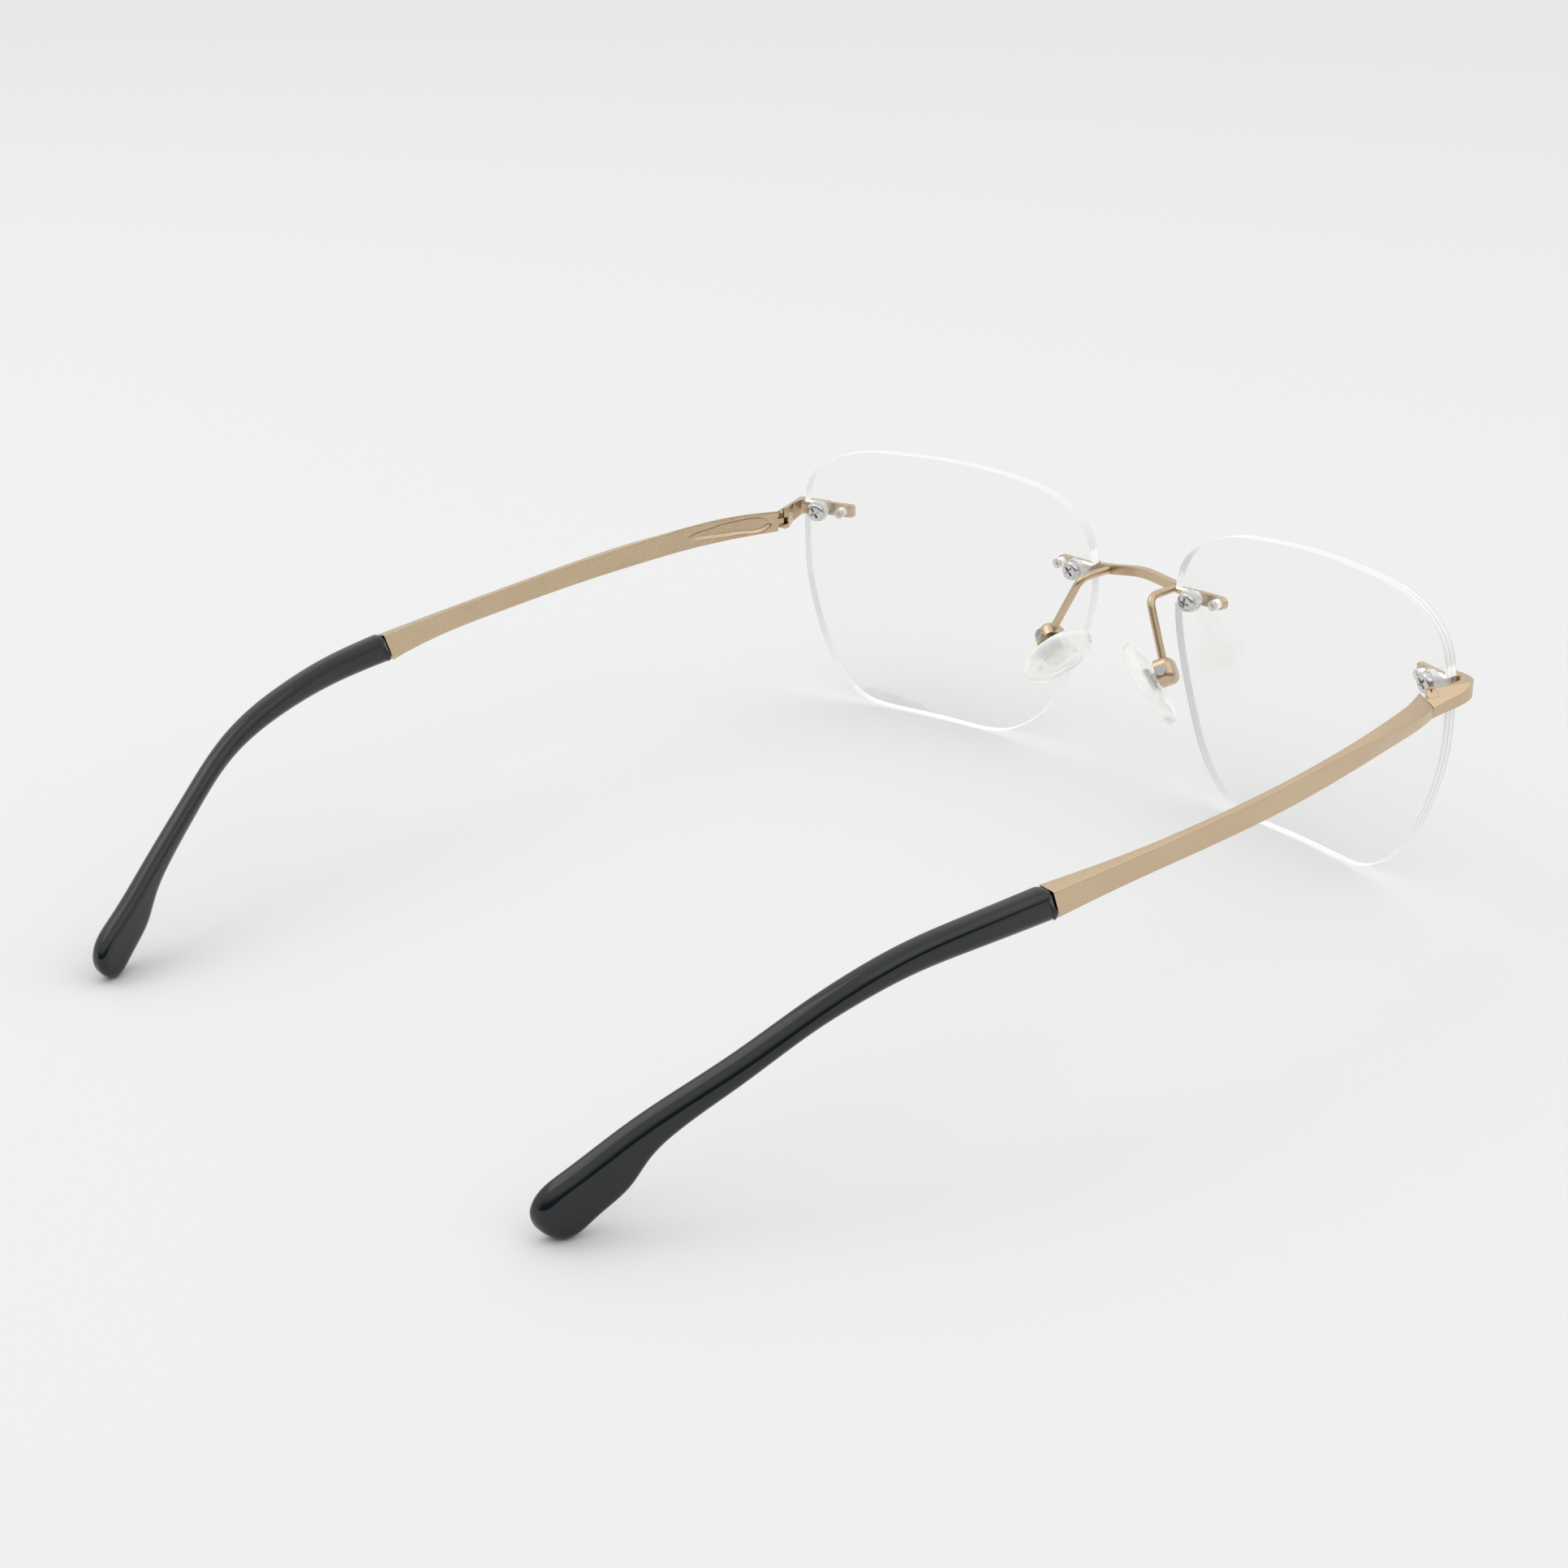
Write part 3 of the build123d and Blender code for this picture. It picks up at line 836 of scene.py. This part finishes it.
@dataclass
class TempleTip:
    """Dark paddle tip that curves down behind the ear, rounded all round.

    Top and bottom are lines of y and height, and middle is a line of y and x, in millimetres.
    """

    side: Side
    shift: float = -75.5
    thick: float = 3.3
    round: float = 1.35
    front_round: float = 0.9
    rows: int = 420
    columns: int = 7
    top: list[tuple[float, float]] = field(
        default_factory=lambda: [
            (93.16, 29.0), (104.0, 28.1), (112.0, 26.85), (118.0, 25.3), (124.3, 22.8),
            (132.6, 18.05), (142.9, 12.1), (150.0, 7.6), (152.7, 5.7), (153.8, 3.3),
        ]
    )
    bottom: list[tuple[float, float]] = field(
        default_factory=lambda: [
            (91.66, 24.85), (104.0, 24.25), (112.0, 23.3), (118.0, 21.95), (124.3, 19.65),
            (132.5, 14.75), (138.7, 10.7), (141.7, 8.0), (144.0, 4.8), (147.8, 1.75),
            (150.8, 0.05), (152.9, 1.05), (153.8, 3.3),
        ]
    )
    middle: list[tuple[float, float]] = field(
        default_factory=lambda: [
            (90.0, 63.75), (104.0, 61.85), (112.0, 60.1), (120.0, 58.35), (128.0, 55.8),
            (136.0, 52.25), (144.0, 48.55), (150.0, 46.15), (155.5, 44.2),
        ]
    )

    def outline(self) -> np.ndarray:
        """Draw the side view's closed outline.

        Returns:
            Its points, from the middle of the front end and over the top.
        """
        line = smooth_line(self.top + self.bottom[::-1][1:], self.rows)
        front = (line[0] + line[-1]) / 2
        line = self.rounded_start(front, line)
        line = self.rounded_start(front, line[::-1])[::-1]
        return np.concatenate([[front], line])

    def rounded_start(self, front: np.ndarray, line: np.ndarray) -> np.ndarray:
        """Round the corner where a long line meets the front end.

        Args:
            front: middle of the front end.
            line: the long line, from its corner.

        Returns:
            The same line with a rounded start.
        """
        radius = self.front_round
        corner = line[0]
        ahead = line[np.linalg.norm(line - corner, axis=1) > radius]
        start = corner + (front - corner) / np.linalg.norm(front - corner) * radius
        end = corner + (ahead[0] - corner) / np.linalg.norm(ahead[0] - corner) * radius
        share = np.linspace(0, 1, 7)[:, None]
        arc = (1 - share) ** 2 * start + 2 * share * (1 - share) * corner + share**2 * end
        return np.concatenate([arc, ahead])

    def drawn_in(self, loop: np.ndarray, amount: float) -> np.ndarray:
        """Move an outline inwards.

        Args:
            loop: the closed outline.
            amount: how far each point moves.

        Returns:
            The smaller outline.
        """
        along = np.roll(loop, -1, axis=0) - np.roll(loop, 1, axis=0)
        normal = np.stack([along[:, 1], -along[:, 0]], axis=1)
        normal /= np.linalg.norm(normal, axis=1)[:, None]
        return loop + normal * amount

    def point(self, flat: np.ndarray, aside: float) -> Vector:
        """Place a point of the side view in space.

        Args:
            flat: y and height.
            aside: distance from the middle surface.

        Returns:
            The point in metres.
        """
        knots = np.array(self.middle)
        x = float(natural_spline(knots[:, 0], knots[:, 1:], np.array([flat[0]]))[0, 0])
        return mirrored((x + aside, flat[0] + self.shift, flat[1]), self.side)

    def build(self, finish: bpy.types.Material) -> bpy.types.Object:
        """Build and dress the tip.

        Args:
            finish: the dark acetate.

        Returns:
            The piece.
        """
        loop = self.outline()
        half = self.thick / 2
        arc = [math.radians(a) for a in range(0, 91, 15)]
        bend = self.round
        profile = [(bend * (1 - math.sin(a)), half + bend * (math.cos(a) - 1)) for a in arc]
        profile = [(depth, -aside) for depth, aside in profile] + profile[::-1]
        form = bmesh.new()
        rings = []
        for depth, aside in profile:
            rings.append([self.point(flat, aside) for flat in self.drawn_in(loop, depth)])
        skin(form, rings, capped=False)
        inset = self.drawn_in(loop, self.round)
        for aside in (-half, half):
            self.face(form, inset, aside)
        piece = new_piece(f"paddle_tip_{self.side.word}", form, finish)
        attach(piece, f"temple_{self.side.word}")
        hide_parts(f"temple_tip_{self.side.word}")
        return piece

    def face(self, form: bmesh.types.BMesh, inset: np.ndarray, aside: float) -> None:
        """Fill one broad side with rows of faces from the top line to the bottom line.

        Args:
            form: the mesh to add to.
            inset: closed outline of the flat.
            aside: its distance from the middle surface.
        """
        count = len(inset)
        rows = []
        for i in range(count // 2 + 1):
            upper, lower = inset[i], inset[-i]
            rows.append(
                [
                    form.verts.new(self.point(upper + (lower - upper) * k / self.columns, aside))
                    for k in range(self.columns + 1)
                ]
            )
        for first, second in zip(rows, rows[1:]):
            for k in range(self.columns):
                form.faces.new((first[k], second[k], second[k + 1], first[k + 1]))


@dataclass
class NosePad:
    """Soft clear oval pad with a raised rim and a moulded socket on its back."""

    side: Side
    shift: float = -75.5
    pivot: tuple[float, float, float] = (11.1, 6.0, 19.9)
    long_way: tuple[float, float, float] = (0.69, 0.10, -0.72)
    facing: tuple[float, float, float] = (-0.62, 0.52, -0.59)
    length: float = 14.0
    width: float = 7.4
    back: float = 1.85
    front: float = 4.35
    forward: float = 0.9
    ring_count: int = 72
    pocket_levels: tuple[float, float] = (2.85, 3.2)
    pocket_half_width: float = 1.0
    pockets: tuple[tuple[float, float], ...] = ((-3.1, 0.45), (3.1, 0.45), (0.0, 1.75))

    def placed(self, u: float, v: float, w: float) -> Vector:
        """Place a point of the pad's own frame on its side.

        Args:
            u: distance along the pad.
            v: distance across it.
            w: height above the pivot.

        Returns:
            The point in metres.
        """
        normal = Vector(self.facing).normalized()
        along = Vector(self.long_way)
        along = (along - along.dot(normal) * normal).normalized()
        across = normal.cross(along)
        point = Vector(self.pivot) + u * along + (v + self.forward) * across + w * normal
        return mirrored((point.x, point.y + self.shift, point.z), self.side)

    def ring(self, share: float, height: float, squareness: float) -> list[Vector]:
        """Build one closed ring.

        Args:
            share: its size as a share of the pad's outline.
            height: its height in the pad's own frame.
            squareness: power of the superellipse, 2 for a plain ellipse.

        Returns:
            The ring's points.
        """
        points = []
        for k in range(self.ring_count):
            turn = 2 * math.pi * k / self.ring_count
            c, s = math.cos(turn), math.sin(turn)
            u = math.copysign(abs(c) ** (2 / squareness), c) * share * self.length / 2
            v = math.copysign(abs(s) ** (2 / squareness), s) * share * self.width / 2
            points.append(self.placed(u, v, height))
        return points

    def pocket(self, form: bmesh.types.BMesh, u: float, half_long: float) -> None:
        """Add a small moulded hollow inside the pad.

        Args:
            form: the mesh to add to.
            u: its place along the pad.
            half_long: half its length along the pad.
        """
        wide = self.pocket_half_width
        corners = [(-half_long, -wide), (half_long, -wide), (half_long, wide), (-half_long, wide)]
        outline = round_corners(corners, 0.25, 5)
        rings = []
        for height in self.pocket_levels:
            rings.append([self.placed(u + along, across, height) for along, across in outline])
        skin(form, rings)

    def build(self, finish: bpy.types.Material) -> bpy.types.Object:
        """Build and dress the pad.

        Args:
            finish: the silicone.

        Returns:
            The piece.
        """
        back, front = self.back, self.front
        # share of the outline, height and squareness, from the back over the rim to the front
        shape = [
            (0.20, back + 0.05, 2.8),
            (0.34, back + 0.05, 2.8),
            (0.37, back + 0.30, 2.6),
            (0.62, back + 0.32, 2.2),
            (0.68, back + 0.08, 2.1),
            (0.80, back, 2.0),
            (0.90, back + 0.14, 2.0),
            (0.965, back + 0.45, 2.0),
            (0.995, back + 0.85, 2.0),
            (1.0, back + 1.2, 2.0),
            (0.99, front - 0.9, 2.0),
            (0.95, front - 0.5, 2.0),
            (0.87, front - 0.2, 2.0),
            (0.77, front - 0.08, 2.0),
            (0.70, front - 0.05, 2.1),
            (0.67, front - 0.26, 2.1),
            (0.60, front - 0.26, 2.2),
            (0.57, front - 0.04, 2.2),
            (0.40, front, 2.2),
            (0.20, front, 2.2),
        ]
        form = bmesh.new()
        skin(form, [self.ring(*row) for row in shape])
        for u, half_long in self.pockets:
            self.pocket(form, u, half_long)
        piece = new_piece(f"soft_pad_{self.side.word}", form, finish)
        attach(piece, f"pad_{self.side.word}")
        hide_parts(f"nose_pad_{self.side.word}")
        return piece


@dataclass
class MountScrews:
    """The four pan-head screws that hold the lenses, with their cross recess."""

    shift: float = -75.5
    centre: tuple[float, float] = (35.5, 21.172)
    wrap: float = math.radians(10.0)
    tilt: float = math.radians(2.1)
    curve: float = 120.0
    nasal: tuple[float, float] = (-24.35, 8.75)
    temporal: tuple[float, float] = (24.9, 9.9)
    seat: float = -3.12
    head_radius: float = 1.45
    head_height: float = 1.0
    shank_radius: float = 0.64
    shank_end: float = 1.0
    around: int = 48

    def lens_frame(self) -> Matrix:
        """Find the left lens's own frame.

        Returns:
            Its matrix, in millimetres.
        """
        cw, sw, ct, st = (
            math.cos(self.wrap),
            math.sin(self.wrap),
            math.cos(self.tilt),
            math.sin(self.tilt),
        )
        across = Vector((cw, sw * ct, sw * st))
        front = Vector((sw, -cw * ct, -cw * st))
        upward = front.cross(across)
        origin = Vector((self.centre[0], self.shift, self.centre[1]))
        return Matrix.Translation(origin) @ Matrix((across, upward, front)).transposed().to_4x4()

    def seat_frame(self, station: tuple[float, float]) -> Matrix:
        """Find the frame of a screw's seat.

        Args:
            station: the screw's place on the lens.

        Returns:
            The frame, whose Z follows the lens surface outwards.
        """
        u, v = station
        lean = Matrix.Rotation(math.asin(math.hypot(u, v) / self.curve), 4, "Y")
        turn = Matrix.Rotation(math.atan2(v, u), 4, "Z")
        tip = turn @ lean @ turn.inverted()
        down = Matrix.Translation((0, 0, -self.curve))
        return self.lens_frame() @ down @ tip @ Matrix.Translation((0, 0, self.curve + self.seat))

    def one_screw(self) -> bpy.types.Object:
        """Turn and cut the pattern screw.

        Returns:
            A screw at the origin, its head below its seat and its shank above.
        """
        radius, height, shank = self.head_radius, self.head_height, self.shank_radius
        end = self.shank_end - self.seat
        head = [
            (0.001, -height),
            (0.62 * radius, -height),
            (0.80 * radius, -0.95 * height),
            (0.93 * radius, -0.83 * height),
            (0.99 * radius, -0.66 * height),
            (radius, -0.5 * height),
            (radius, -0.03),
            (radius - 0.04, 0.0),
            (shank, 0.0),
            (shank, end - 0.05),
            (shank - 0.05, end),
            (0.001, end),
        ]
        form = bmesh.new()
        turns = [2 * math.pi * k / self.around for k in range(self.around)]
        circle = [(math.cos(turn), math.sin(turn)) for turn in turns]
        rings = []
        for reach, level in head:
            rings.append([Vector((reach * x, reach * y, level)) * MM for x, y in circle])
        skin(form, rings)
        steel = bpy.data.materials.new("pattern_screw")
        body = new_piece("pattern_screw", form, steel)
        cutter = self.cross_cutter(steel)
        cut = body.modifiers.new("cross", "BOOLEAN")
        cut.object = cutter
        cut.solver = "EXACT"
        return bake(body, [cutter])

    def cross_cutter(self, steel: bpy.types.Material) -> bpy.types.Object:
        """Build the cross that cuts the recess, narrower towards its foot.

        Args:
            steel: any material.

        Returns:
            The block.
        """
        form = bmesh.new()
        top = -self.head_height
        rings = []
        # half width of a bar, its half length and its level
        for w, a, level in ((0.2, 0.9856, top - 0.2), (0.2, 0.88, top), (0.14, 0.5456, -0.45)):
            quarter = [Vector((a, -w)), Vector((a, w)), Vector((w, w))]
            flat = []
            for turns in range(4):
                spin = Matrix.Rotation(turns * math.pi / 2, 2)
                flat += [spin @ corner for corner in quarter]
            rings.append([Vector((*spot, level)) * MM for spot in flat])
        skin(form, rings)
        return new_piece("cross_cutter", form, steel)

    def points(self) -> bpy.types.Object:
        """Mark the four seats.

        Returns:
            A mesh of four points, each with its outward direction as an attribute.
        """
        places, axes = [], []
        for side in Side:
            for station in (self.nasal, self.temporal):
                frame = self.seat_frame(station)
                spot = frame.translation * MM
                axis = frame.to_3x3() @ Vector((0, 0, 1))
                places.append((side.value * spot.x, spot.y, spot.z))
                axes.append((side.value * axis.x, axis.y, axis.z))
        mesh = bpy.data.meshes.new("screw_seats")
        mesh.from_pydata(places, [], [])
        facing = mesh.attributes.new("facing", "FLOAT_VECTOR", "POINT")
        facing.data.foreach_set("vector", [part for axis in axes for part in axis])
        holder = bpy.data.objects.new("screw_seats", mesh)
        bpy.context.scene.collection.objects.link(holder)
        return holder

    def tree(self) -> bpy.types.NodeTree:
        """Build the node tree that sets a screw on each seat, turned by a seeded angle.

        Returns:
            The tree.
        """
        tree = bpy.data.node_groups.new("screws_on_seats", "GeometryNodeTree")
        face = tree.interface
        for name, kind in (
            ("Seats", "Geometry"),
            ("Screw", "Object"),
            ("Size", "Float"),
            ("Turn seed", "Int"),
            ("Finish", "Material"),
        ):
            face.new_socket(name, in_out="INPUT", socket_type=f"NodeSocket{kind}")
        face.new_socket("Screws", in_out="OUTPUT", socket_type="NodeSocketGeometry")
        add, join = tree.nodes.new, tree.links.new
        given, result = add("NodeGroupInput"), add("NodeGroupOutput")
        facing = add("GeometryNodeInputNamedAttribute")
        facing.data_type = "FLOAT_VECTOR"
        facing.inputs["Name"].default_value = "facing"
        align = add("FunctionNodeAlignRotationToVector")
        align.axis = "Z"
        join(facing.outputs["Attribute"], align.inputs["Vector"])
        turn = add("FunctionNodeRandomValue")
        turn.data_type = "FLOAT"
        turn.inputs[3].default_value = math.pi
        join(given.outputs["Turn seed"], turn.inputs["Seed"])
        spin = add("FunctionNodeAxisAngleToRotation")
        spin.inputs["Axis"].default_value = (0, 0, 1)
        join(turn.outputs[1], spin.inputs["Angle"])
        both = add("FunctionNodeRotateRotation")
        both.rotation_space = "LOCAL"
        join(align.outputs[0], both.inputs["Rotation"])
        join(spin.outputs[0], both.inputs["Rotate By"])
        pattern = add("GeometryNodeObjectInfo")
        join(given.outputs["Screw"], pattern.inputs["Object"])
        placed = add("GeometryNodeInstanceOnPoints")
        join(given.outputs["Seats"], placed.inputs["Points"])
        join(pattern.outputs["Geometry"], placed.inputs["Instance"])
        join(both.outputs[0], placed.inputs["Rotation"])
        join(given.outputs["Size"], placed.inputs["Scale"])
        real = add("GeometryNodeRealizeInstances")
        join(placed.outputs[0], real.inputs[0])
        dress = add("GeometryNodeSetMaterial")
        join(real.outputs[0], dress.inputs["Geometry"])
        join(given.outputs["Finish"], dress.inputs["Material"])
        join(dress.outputs[0], result.inputs["Screws"])
        return tree

    def build(self, finish: bpy.types.Material) -> bpy.types.Object:
        """Set a screw on each seat and dress them.

        Args:
            finish: the steel.

        Returns:
            The piece with all four screws.
        """
        pattern = self.one_screw()
        holder = self.points()
        tree = self.tree()
        maker = holder.modifiers.new("screws", "NODES")
        maker.node_group = tree
        chosen = {"Screw": pattern, "Size": 1.0, "Turn seed": 7, "Finish": finish}
        for item in tree.interface.items_tree:
            if item.name in chosen:
                maker[item.identifier] = chosen[item.name]
        screws = bake(holder, [pattern])
        screws.name = "mount_screws"
        sharpen(screws, 40)
        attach(screws, "front")
        nodes = [f"{place}_screw_{side.word}" for place in ("nasal", "temporal") for side in Side]
        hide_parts(*nodes)
        return screws


def bake(source: bpy.types.Object, helpers: list[bpy.types.Object]) -> bpy.types.Object:
    """Turn an object with modifiers into one plain mesh and clear its helpers away.

    Args:
        source: the object with modifiers.
        helpers: objects that only its modifiers needed.

    Returns:
        A new object with the plain mesh.
    """
    bpy.context.view_layer.update()
    graph = bpy.context.evaluated_depsgraph_get()
    mesh = bpy.data.meshes.new_from_object(source.evaluated_get(graph), depsgraph=graph)
    name = source.name
    for spare in [source, *helpers]:
        bpy.data.objects.remove(spare)
    mesh.polygons.foreach_set("use_smooth", [True] * len(mesh.polygons))
    plain = bpy.data.objects.new(name, mesh)
    bpy.context.scene.collection.objects.link(plain)
    return plain


@dataclass
class CarriedParts:
    """CAD nodes shown as they are, each with its finish."""

    nodes: dict[str, bpy.types.Object]
    slots: dict[str, str]

    def dress(self, finishes: dict[str, bpy.types.Material]) -> list[bpy.types.Object]:
        """Give every shown CAD node its material.

        Args:
            finishes: material for each node name.

        Returns:
            The dressed nodes.
        """
        dressed = []
        for name, node in sorted(self.nodes.items()):
            if node.hide_render:
                continue
            node.data.materials.clear()
            node.data.materials.append(finishes[name])
            dressed.append(node)
        return dressed


@dataclass
class Studio:
    """Pale paper floor, soft lights and the camera."""

    reach: float = 6.0
    lens: float = 63.283
    place: tuple[float, float, float] = (-0.25001, 0.23648, 0.15587)
    azimuth: float = math.radians(226.333)
    elevation: float = math.radians(21.752)
    roll: float = math.radians(-0.487)
    sky: float = 0.935
    low_sky: tuple[float, float, float] = (0.80, 0.80, 0.81)
    high_sky: tuple[float, float, float] = (1.08, 1.08, 1.08)
    dim_sky: tuple[float, float, float] = (0.10, 0.10, 0.11)
    dim_band: tuple[float, float] = (0.22, 0.62)

    def floor(self, finish: bpy.types.Material) -> bpy.types.Object:
        """Lay the floor.

        Args:
            finish: the paper.

        Returns:
            The floor.
        """
        form = bmesh.new()
        count = 12
        spots = [-self.reach + 2 * self.reach * k / count for k in range(count + 1)]
        grid = [[form.verts.new((x, y, -0.00002)) for x in spots] for y in spots]
        for low, high in zip(grid, grid[1:]):
            for k in range(count):
                form.faces.new((low[k], low[k + 1], high[k + 1], high[k]))
        ground = new_piece("paper_floor", form, finish)
        ground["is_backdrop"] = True
        return ground

    def world(self) -> None:
        """Surround the scene with soft light, brighter overhead and dim low behind the camera."""
        world = bpy.data.worlds.new("soft_surround")
        world.use_nodes = True
        bpy.context.scene.world = world
        sheet = NodeSheet("surround_sheet", world.node_tree)
        where = sheet.coordinates.outputs["Generated"]
        height = sheet.dot(where, (0.0, 0.0, 1.0))
        behind = sheet.dot(where, (math.sin(self.azimuth), -math.cos(self.azimuth), 0.0))
        low = sheet.maths("SUBTRACT", 1.0, sheet.ramp(height, *self.dim_band))
        dim = sheet.maths("MULTIPLY", low, sheet.ramp(behind, 0.0, 0.6))
        sky = sheet.blend(sheet.ramp(height, 0.0, 0.8), (*self.low_sky, 1), (*self.high_sky, 1))
        colour = sheet.blend(dim, sky, (*self.dim_sky, 1))
        light = sheet.add("ShaderNodeBackground", Color=colour, Strength=self.sky)
        sheet.add("ShaderNodeOutputWorld", Surface=light.outputs[0])

    def lamp(self, name: str, spot: tuple[float, float, float], size: float, power: float) -> None:
        """Hang a square soft lamp aimed at the middle of the frame.

        Args:
            name: its name.
            spot: where it hangs.
            size: the length of its side.
            power: its power in watts.
        """
        data = bpy.data.lights.new(name, "AREA")
        data.size = size
        data.energy = power
        lamp = bpy.data.objects.new(name, data)
        lamp.location = spot
        aim = Vector((0, 0, 0.015)) - Vector(spot)
        lamp.rotation_euler = aim.to_track_quat("-Z", "Y").to_euler()
        bpy.context.scene.collection.objects.link(lamp)

    def camera(self) -> bpy.types.Object:
        """Set up the camera.

        Returns:
            The scene's camera.
        """
        data = bpy.data.cameras.new("camera")
        data.lens = self.lens
        data.sensor_width = 36.0
        data.clip_start = 0.01
        data.clip_end = 50.0
        camera = bpy.data.objects.new("camera", data)
        ca, sa, ce, se = (
            math.cos(self.azimuth),
            math.sin(self.azimuth),
            math.cos(self.elevation),
            math.sin(self.elevation),
        )
        back = Vector((sa * ce, -ca * ce, se))
        right = Vector((ca, sa, 0))
        upward = back.cross(right)
        turned_right = math.cos(self.roll) * right + math.sin(self.roll) * upward
        turned_up = -math.sin(self.roll) * right + math.cos(self.roll) * upward
        rotation = Matrix((turned_right, turned_up, back)).transposed()
        camera.matrix_world = Matrix.Translation(self.place) @ rotation.to_4x4()
        bpy.context.scene.collection.objects.link(camera)
        bpy.context.scene.camera = camera
        return camera

    def build(self, paper: bpy.types.Material) -> None:
        """Set up floor, lights and camera.

        Args:
            paper: the floor's finish.
        """
        self.floor(paper)
        self.world()
        bpy.context.scene.view_settings.view_transform = "Standard"
        self.lamp("lamp_over_left", (0.5, 0.3, 0.9), 0.7, 1.3)
        self.lamp("lamp_over_right", (-0.7, -0.3, 0.7), 0.8, 0.65)
        self.camera()


def corners(box: tuple[Vector, Vector]) -> list[list[float]]:
    """Return a box's two corners as plain lists."""
    return [list(corner) for corner in box]


def finish_of_nodes(slots: dict[str, str]) -> dict[str, bpy.types.Material]:
    """Choose a material for each CAD node.

    Args:
        slots: the record's material slot of each node.

    Returns:
        The material of each node.
    """
    brushed = GoldFinish().material()
    polished = GoldFinish(
        name="champagne_gold_polished",
        roughness=0.28,
        grain=(1500.0, 1500.0, 1500.0),
        grain_strength=0.02,
        edge=0.1 * MM,
    ).material()
    lenses = {side.word: LensFinish(f"clear_lens_{side.word}", side).material() for side in Side}
    by_slot = {
        "gold_metal": brushed,
        "gold_screw": polished,
        "silver_screw": SteelFinish().material(),
        "clear_plastic": HARD_PLASTIC.material(),
        "silicone": SOFT_SILICONE.material(),
        "dark_acetate": AcetateFinish().material(),
    }
    chosen = {}
    for node, slot in slots.items():
        if slot == "clear_lens":
            chosen[node] = lenses[node.rsplit("_", 1)[1]]
        elif node.startswith(("pad_arm", "pad_box")):
            chosen[node] = polished
        else:
            chosen[node] = by_slot[slot]
    return chosen


def main() -> None:
    """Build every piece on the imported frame, then the studio."""
    logging.basicConfig(level=logging.INFO, format="%(message)s")
    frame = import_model()
    cad_box = corners(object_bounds())
    slots = {part["node"]: part["material_slot"] for part in frame["record"]["subparts"]}
    finishes = finish_of_nodes(slots)
    pieces = [MountScrews().build(finishes["nasal_screw_left"])]
    for side in Side:
        pieces.append(TempleArm(side).build(finishes[f"temple_{side.word}"]))
        pieces.append(TempleTip(side).build(finishes[f"temple_tip_{side.word}"]))
        pieces.append(NosePad(side).build(finishes[f"nose_pad_{side.word}"]))
    pieces += CarriedParts(frame["nodes"], slots).dress(finishes)
    Studio().build(FloorFinish().material())
    for piece in pieces:
        LOG.info("%s: %d faces", piece.name, len(piece.data.polygons))
    {"cad": cad_box, "visual": corners(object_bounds())}


if __name__ == "__main__":
    main()
